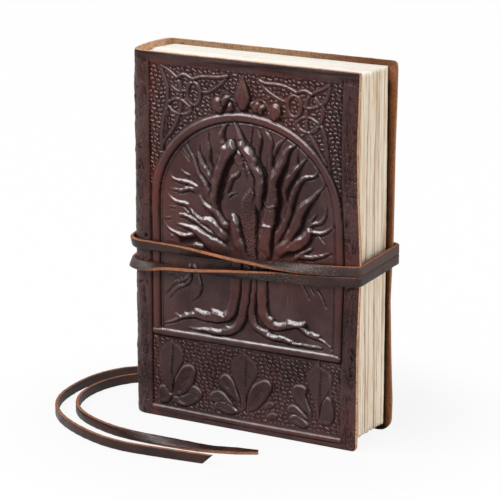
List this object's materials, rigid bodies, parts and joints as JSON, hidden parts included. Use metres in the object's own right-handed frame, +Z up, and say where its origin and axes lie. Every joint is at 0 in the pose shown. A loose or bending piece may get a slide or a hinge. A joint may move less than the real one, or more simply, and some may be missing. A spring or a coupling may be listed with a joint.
{
  "type": "leather journal",
  "caption": "Handmade journal: embossed leather cover folded round sewn signatures of rough paper, held shut by a leather thong.",
  "frame": {"origin": "middle of the book's foot, on the surface that it stands on", "axes": "+Z up towards the head of the book, +X from the spine towards the fore-edge, -Y the way the front cover faces"},
  "size_m": [0.1666, 0.1098, 0.178],
  "materials": {
    "cover_leather": "dark brown embossed leather, waxed and rubbed reddish",
    "paper": "rough handmade cotton paper, deckled",
    "thread": "waxed linen thread",
    "thong_leather": "dark brown grain with raw tan cut edges"
  },
  "bodies": {
    "root": {"leather_cover": "cover_leather", "page_block": "paper", "sewing_thread_1": "thread", "sewing_thread_2": "thread", "sewing_thread_3": "thread", "sewing_thread_4": "thread", "wrap_thong": "thong_leather", "thong_tail_outer": "thong_leather", "thong_tail_inner": "thong_leather"}
  },
  "joints": []
}
